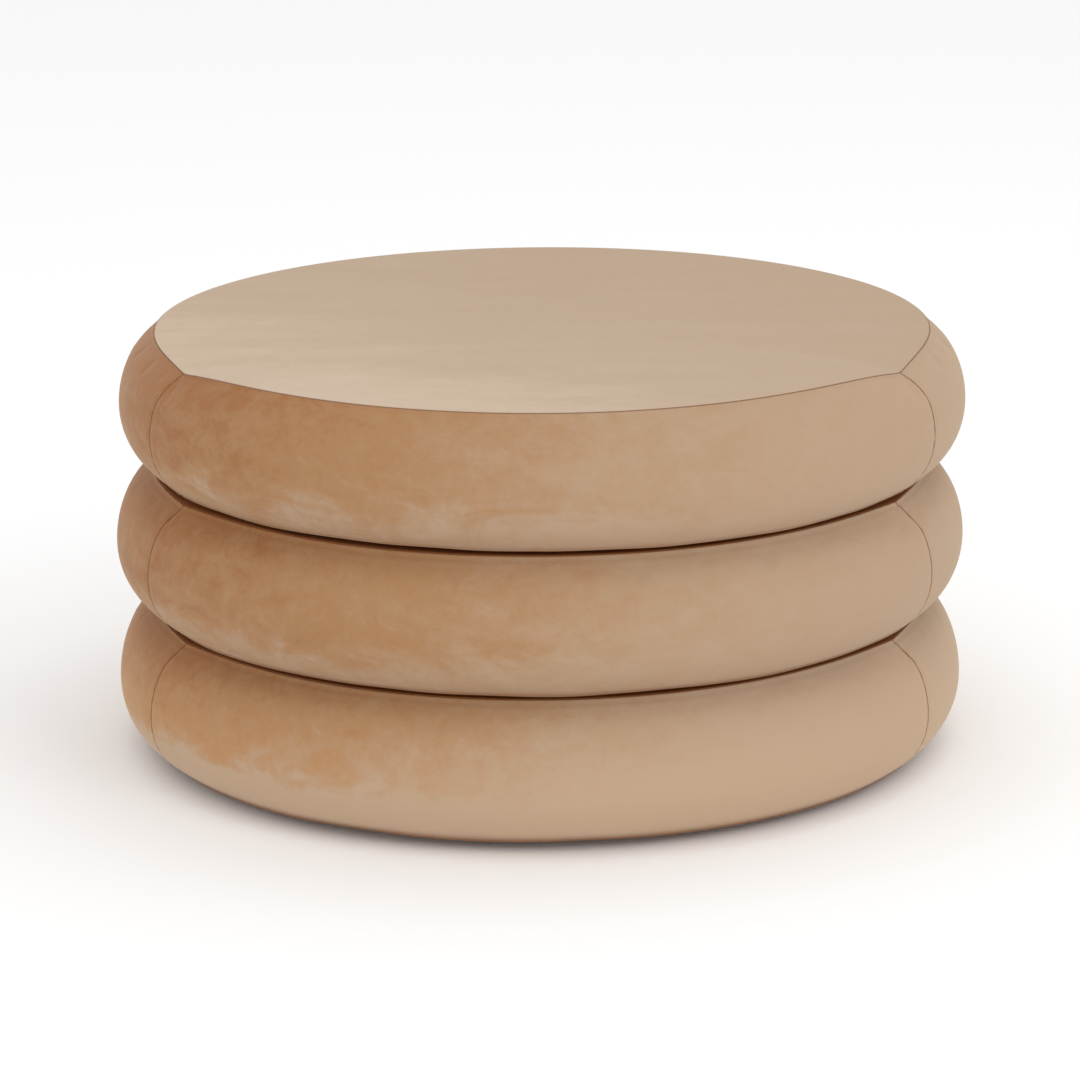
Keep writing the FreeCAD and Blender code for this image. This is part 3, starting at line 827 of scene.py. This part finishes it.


# %% [markdown]
# ## Velvet
# Velvet is a short dense pile. Pile that leans towards the eye is deep in colour, pile that leans away is
# pale, so brushing and sitting leave marks. The finish has a fine pile grain, broad brushed patches, small
# pressure marks, a brown line in every seam that is partly painted shade, and a sheen that lightens grazing
# surfaces. The band is also painted paler towards the key light and near the floor, and darker on its left
# and on its turned-under part, as painted light and shade. The marks and these gradients are one number
# over the surface, and three tones are blended by it. The upper top and the tops under other tiers get a
# paler and a darker copy of the velvet, as painted light and painted shade.

# %% The velvet finish
def velvet_finish(name, tones, on_top, sheen=0.22):
    """Velvet with three tones from deep to pale; a top panel is brushed across, a band sideways."""
    finish = Finish(name, Sheen_Weight=sheen, Sheen_Roughness=0.45,
                    Sheen_Tint=colour(244, 232, 210), Specular_IOR_Level=0.18)
    deep, middle, pale = tones
    spot = finish.node("ShaderNodeTexCoord", output="Object")
    parts = (finish.node("ShaderNodeSeparateXYZ", None, {"Vector": spot}, i) for i in range(3))
    across, away, height = parts
    cloth = finish.node("ShaderNodeUVMap", {"uv_map": "cloth"})
    down = finish.node("ShaderNodeSeparateXYZ", None, {"Vector": cloth}, 1) * -1
    near = finish.node("ShaderNodeAttribute", {"attribute_name": "seam_distance"}, None, 2)
    broad = finish.noise(finish.place(4.0), detail=2.0, distortion=0.4) - 0.5
    strokes = finish.place(12.0, stretch=(1.0, 1.0, 2.4))
    brushed = finish.noise(strokes, detail=3.0, roughness=0.6, distortion=0.9) - 0.5
    marks = finish.noise(finish.place(40.0), detail=4.0, roughness=0.65, distortion=0.8) - 0.5
    pile = finish.noise(finish.place(800.0), detail=2.0, roughness=0.7)
    if on_top:
        streaks = finish.noise(finish.place(6.0, stretch=(1, 4, 1), turn=0.5), detail=1.0) - 0.5
        # the top's tone grows paler towards its front left
        tone_gradient = 0.36 - away * 0.95 - across * 0.8
        nap_and_gradient = tone_gradient + streaks * 0.35 + broad * 0.35 + marks * 0.25
    else:
        # painted light: the band is painted paler towards the key light, forward of its right side, and
        # deeper on its left, in place of the light and sheen that fall there
        tone_gradient = 0.45 + (across * math.cos(LIT_SIDE_TURN) - away * math.sin(LIT_SIDE_TURN)) * 1.25
        # the side that the gradient paints deeper, in painted shade, gets stronger nap marks
        deep_side = (1.1 - tone_gradient).between(0.0, 1.0)
        # on that side the band grows paler below its widest place
        paler_below_belly = (down + brushed * 0.07).between(0.085, 0.125) * deep_side
        fine = finish.noise(finish.place(130.0), detail=3.0, roughness=0.7) - 0.5
        # painted light: the band is painted paler near the floor, in place of the light that the pale floor
        # throws back
        painted_floor_bounce = (0.165 - height).between(0.0, 0.14) * 0.5 + (0.075 - height).between(0.0, 0.06) * 0.6
        under_seam = (0.055 - down + brushed * 0.05).between(0.0, 0.05) * (0.85 - tone_gradient).between(0.0, 1.0)
        tone_gradient = tone_gradient + painted_floor_bounce * 0.5 - under_seam * 0.34
        patches = broad * 0.4 + brushed * 0.7 + marks * 0.55 + fine * 0.4
        # the sum below mixes the velvet's own nap marks with the band's painted-light gradient
        nap_and_gradient = tone_gradient + paler_below_belly * 0.46 + patches * (0.22 + deep_side)
    low = finish.blend(nap_and_gradient.between(-0.1, 0.5), deep, middle)
    tone = finish.blend(nap_and_gradient.between(0.4, 1.05), low, pale)
    tone = finish.blend(pile.between(0.35, 0.8) * 0.12, tone, pale)
    if not on_top:
        lit = finish.blend(nap_and_gradient.between(0.2, 0.9), *FLOOR_LIT_TONES)
        floor_light = (0.15 - height).between(0.0, 0.12) * 0.58 + (0.045 - height).between(0.0, 0.035) * 0.4
        tone = finish.blend(floor_light, tone, lit)
        # painted shade: the band's turned-under part, which lies in the groove between tiers, is painted
        # dark brown
        tone = finish.blend(down.between(0.142, 0.164) * 0.75, tone, UNDERSIDE_SHADE)
    # the seam line is partly the seam's own brown and partly painted shade in the crease
    crease = (0.0023 - near).between(0.0, 0.002)
    tone = finish.blend(crease * 0.64, tone, SEAM_LINE_AND_SHADE)
    finish.feed("Base Color", tone)
    finish.feed("Roughness", 0.74 + nap_and_gradient * 0.1)
    finish.bump(pile * 0.35 + marks * 0.9 + brushed * 1.2, 0.0009, 0.5)
    return finish.material


# painted light: the band's painted pale side faces this way, towards the key light
LIT_SIDE_TURN = 0.47         # the band is palest towards this angle forward of its right side
BAND_TONES = (colour(150, 98, 56), colour(163, 122, 84), colour(174, 148, 123))
# painted shade: darker tones for the top panels that lie under another tier
SHADED_TONES = (colour(128, 74, 34), colour(138, 82, 40), colour(148, 90, 46))
# painted light: paler, greyer tones for the upper tier's top, in place of the overhead light and sheen on
# it
LIT_TOP_TONES = (colour(169, 142, 117), colour(176, 151, 128), colour(197, 176, 155))
FLOOR_LIT_TONES = (colour(198, 148, 100), colour(194, 166, 139))
# the seam's own brown mixed with painted shade in the crease
SEAM_LINE_AND_SHADE = colour(116, 68, 36)
# painted shade for the turned-under part of the band
UNDERSIDE_SHADE = colour(122, 70, 34)
BAND_VELVET = velvet_finish("camel_velvet_band", BAND_TONES, False)
TOP_VELVET = velvet_finish("camel_velvet_top", LIT_TOP_TONES, True)
# a darker copy of the velvet without sheen, painted shade for the tops under other tiers
SHADED_VELVET = velvet_finish("camel_velvet_painted_shade", SHADED_TONES, True, sheen=0.0)
for piece in VELVET_PIECES:
    # the upper top gets the painted-light copy, and the tops under other tiers get the painted-shade copy
    if piece.name == "upper_top_velvet":
        piece.data.materials.append(TOP_VELVET)
    else:
        piece.data.materials.append(SHADED_VELVET if "top" in piece.name else BAND_VELVET)
print("velvet on", len(VELVET_PIECES), "panels")

# %% [markdown]
# ## Wood, board and metal
# The frame is never painted, so each board shows what it is made of. Birch plywood has a calm figure on its
# faces and stripes on its edge, one for each ply. Pine has straight stronger grain along the block, and
# hardboard is brown pressed fibre with dark specks.

# %% Frame finishes
PLY = 0.0015


def plywood_finish():
    finish = Finish("birch_plywood", Specular_IOR_Level=0.3)
    figure = finish.noise(finish.place(5.0, stretch=(1, 14, 1)), detail=4.0, distortion=1.2)
    pores = finish.noise(finish.place(60.0, stretch=(1, 22, 1)), detail=2.0, roughness=0.7)
    spot = finish.node("ShaderNodeTexCoord", output="Object")
    height = finish.node("ShaderNodeSeparateXYZ", None, {"Vector": spot}, 2)
    stripe = (height * (math.pi / PLY)).sine().between(-0.25, 0.25)
    facing = finish.node("ShaderNodeNewGeometry", output="Normal")
    upright = finish.node("ShaderNodeSeparateXYZ", None, {"Vector": facing}, 2).size()
    face = finish.blend(figure.between(0.3, 0.75), colour(222, 190, 145), colour(194, 154, 108))
    face = finish.blend(pores.between(0.58, 0.8) * 0.5, face, colour(150, 108, 68))
    edge = finish.blend(stripe, colour(206, 168, 122), colour(150, 106, 66))
    finish.feed("Base Color", finish.blend(upright.between(0.4, 0.6), edge, face))
    finish.feed("Roughness", 0.55 + figure * 0.2)
    finish.bump(figure + pores * 0.6, 0.0004, 0.5)
    return finish.material


def pine_finish():
    finish = Finish("planed_pine", Specular_IOR_Level=0.3)
    rings = finish.noise(finish.place(26.0, stretch=(1, 1, 0.08)), detail=3.0, distortion=1.0)
    lines = (rings * 60).sine().between(-0.4, 0.9)
    fibre = finish.noise(finish.place(240.0, stretch=(1, 1, 0.05)), detail=2.0)
    tone = finish.blend(lines, colour(228, 194, 142), colour(192, 142, 88))
    finish.feed("Base Color", finish.blend(fibre.between(0.5, 0.8) * 0.4, tone, colour(168, 120, 74)))
    finish.feed("Roughness", 0.5 + lines * 0.15)
    finish.bump(lines * 0.5 + fibre, 0.0003, 0.5)
    return finish.material


def hardboard_finish():
    finish = Finish("brown_hardboard", Specular_IOR_Level=0.35)
    fibre = finish.noise(finish.place(420.0), detail=3.0, roughness=0.7, distortion=1.5)
    cloud = finish.noise(finish.place(18.0), detail=2.0)
    tone = finish.blend(cloud, colour(120, 80, 46), colour(104, 66, 38))
    finish.feed("Base Color", finish.blend(fibre.between(0.6, 0.75), tone, colour(62, 38, 22)))
    finish.feed("Roughness", 0.5 + fibre * 0.2)
    finish.bump(fibre, 0.0002, 0.6)
    return finish.material


def zinc_finish():
    finish = Finish("bright_zinc", Metallic=1.0)
    bloom = finish.noise(finish.place(160.0), detail=3.0)
    scuff = finish.noise(finish.place(900.0, stretch=(1, 1, 0.1)), detail=2.0)
    finish.feed("Base Color", finish.blend(bloom, colour(196, 198, 202), colour(160, 164, 172)))
    finish.feed("Roughness", 0.26 + bloom * 0.18 + scuff * 0.08)
    finish.bump(scuff, 0.00005, 0.4)
    return finish.material


def plastic_finish():
    finish = Finish("black_glide_plastic", Specular_IOR_Level=0.45)
    grain = finish.noise(finish.place(1400.0), detail=2.0)
    worn = finish.noise(finish.place(90.0, stretch=(1, 1, 3)), detail=3.0)
    finish.feed("Base Color", finish.blend(worn.between(0.5, 0.9), colour(24, 24, 26), colour(52, 51, 50)))
    finish.feed("Roughness", 0.38 + grain * 0.2)
    finish.bump(grain, 0.00006, 0.5)
    return finish.material


# %% [markdown]
# The dust cover is spun-bonded cloth: a felt of fine fibres, pressed together at a regular grid of points.
# Foam is full of small open cells, and wadding is loose white fibre.

# %% Cloth and filling finishes
DENT_SPACING = 0.0025


def dust_cloth_finish():
    finish = Finish("black_dust_cloth", Sheen_Weight=0.25, Sheen_Roughness=0.6, Specular_IOR_Level=0.2)
    spot = finish.node("ShaderNodeTexCoord", output="Object")
    dents = 1.0
    for axis in range(2):
        line = finish.node("ShaderNodeSeparateXYZ", None, {"Vector": spot}, axis)
        dents = (line * (2 * math.pi / DENT_SPACING)).sine().between(0.2, 0.9) * dents
    fibre = finish.noise(finish.place(700.0), detail=4.0, roughness=0.75, distortion=2.0)
    tone = finish.blend(fibre.between(0.45, 0.75), colour(22, 22, 24), colour(58, 58, 62))
    finish.feed("Base Color", tone)
    finish.feed("Roughness", 0.85 - dents * 0.25)
    finish.bump(fibre * 0.6 - dents, 0.0002, 0.7)
    return finish.material


def foam_finish():
    finish = Finish("cream_foam", Specular_IOR_Level=0.15)
    cells = finish.node("ShaderNodeTexVoronoi", None, {"Vector": finish.place(650.0), "Scale": 1.0})
    cloud = finish.noise(finish.place(14.0), detail=2.0)
    tone = finish.blend(cloud, colour(238, 224, 178), colour(228, 208, 156))
    finish.feed("Base Color", finish.blend(cells.between(0.1, 0.5), colour(196, 172, 120), tone))
    finish.feed("Roughness", 0.85 + cloud * 0.1)
    finish.bump(cells, 0.0006, 0.6)
    return finish.material


def wadding_finish():
    finish = Finish("white_wadding", Sheen_Weight=0.4, Sheen_Roughness=0.5, Specular_IOR_Level=0.15)
    tufts = finish.noise(finish.place(45.0), detail=4.0, roughness=0.7, distortion=1.5)
    strands = finish.place(380.0, stretch=(1, 1, 0.3))
    fibre = finish.noise(strands, detail=4.0, roughness=0.8, distortion=3.0)
    tone = finish.blend(tufts * 0.6 + fibre * 0.4, colour(214, 214, 208), colour(248, 248, 244))
    finish.feed("Base Color", tone)
    finish.feed("Roughness", 0.85 + fibre * 0.1)
    finish.bump(tufts + fibre * 0.6, 0.0025, 0.7)
    return finish.material


# %% Give every piece its finish
FRAME_FINISHES = {
    "board": plywood_finish(),
    "spacer_blocks": pine_finish(),
    "hoop": hardboard_finish(),
    "zinc": zinc_finish(),
    "glides": plastic_finish(),
    "dust_cover": dust_cloth_finish(),
}
ZINC_NODES = ("screws", "staples", "bolts", "nuts")
for name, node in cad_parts.items():
    if node.hide_render:
        continue
    kind = next((k for k in FRAME_FINISHES if name.endswith(k)), None)
    if name.endswith(ZINC_NODES):
        kind = "zinc"
    for place_in in node.material_slots:
        place_in.material = FRAME_FINISHES[kind]
    if not node.material_slots:
        print("no slot on", name)
FOAM_MATERIAL = foam_finish()
WADDING_MATERIAL = wadding_finish()
for piece in FOAM_PIECES:
    piece.data.materials.append(FOAM_MATERIAL)
for piece in WADDING_PIECES:
    piece.data.materials.append(WADDING_MATERIAL)
print("shown CAD nodes", sum(not node.hide_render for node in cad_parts.values()))

# %% [markdown]
# ## Room, light and camera
# A wide pale floor under an even bright sky gives a plain background. A large soft light stands high to
# the right of the camera, so the left of the rounded sides falls into the deeper colour, and a weaker one
# stands low in front, because a pale floor throws light back onto the lowest tier. The velvet finish adds
# painted light to both: the bands are painted deeper on the left, paler on the right and paler near the
# floor.

# %% Floor and lights
def backdrop():
    """A wide pale floor."""
    mesh, row, column = grid_mesh("studio_floor", 8, 8)
    place(mesh, np.stack([(column - 4) * 12.0, (row - 4) * -12.0 + 30.0, np.zeros(len(row))], axis=1))
    if mesh.polygons[0].normal.z < 0:
        mesh.flip_normals()
    piece = add_object("studio_floor", mesh)
    finish = Finish("pale_paper", Base_Color=(0.97, 0.97, 0.97, 1), Roughness=0.95, Specular_IOR_Level=0.05)
    mesh.materials.append(finish.material)


def soft_light(name, place_at, size, power, tint=(1, 1, 1)):
    light = bpy.data.lights.new(name, "AREA")
    light.shape = "DISK"
    light.size = size
    light.energy = power
    light.color = tint
    lamp = bpy.data.objects.new(name, light)
    bpy.context.scene.collection.objects.link(lamp)
    lamp.location = place_at
    aim = Vector((0, 0, 0.2)) - Vector(place_at)
    lamp.rotation_euler = aim.to_track_quat("-Z", "Y").to_euler()


backdrop()
soft_light("key", (2.4, -2.8, 2.8), 2.4, 30, (1.0, 0.99, 0.97))
soft_light("overhead", (0.4, 0.8, 3.6), 3.2, 12)
soft_light("low_front", (-0.6, -4.2, 0.55), 2.2, 20)
world = bpy.data.worlds.new("studio")
world.use_nodes = True
world.node_tree.nodes["Background"].inputs["Color"].default_value = (1, 1, 1, 1)
world.node_tree.nodes["Background"].inputs["Strength"].default_value = 0.95
bpy.context.scene.world = world
bpy.context.scene.view_settings.view_transform = "Standard"

# %% [markdown]
# The camera stands in front at a low raised angle with a long lens, which keeps the round tiers nearly
# undistorted. It looks at the middle of the stack.

# %% Camera
CAMERA_RISE = math.radians(14.88)
CAMERA_AWAY = 4.486
CAMERA_ROLL = math.radians(-0.33)
LENS = 147.5
middle = (SIZES["lower"]["low"] + SIZES["upper"]["high"]) / 2
camera_data = bpy.data.cameras.new("camera")
camera_data.lens = LENS
camera_data.sensor_width = 36
camera_data.shift_x = -0.0008
camera_data.shift_y = -0.0152
camera_data.clip_end = 60
camera = bpy.data.objects.new("camera", camera_data)
bpy.context.scene.collection.objects.link(camera)
camera.location = (0, -CAMERA_AWAY * math.cos(CAMERA_RISE), middle + CAMERA_AWAY * math.sin(CAMERA_RISE))
look = Vector((0, 0, middle)) - camera.location
facing = look.to_track_quat("-Z", "Y").to_matrix().to_4x4()
camera.rotation_euler = (facing @ Matrix.Rotation(CAMERA_ROLL, 4, "Z")).to_euler()
bpy.context.scene.camera = camera
print("camera at", [round(x, 3) for x in camera.location])
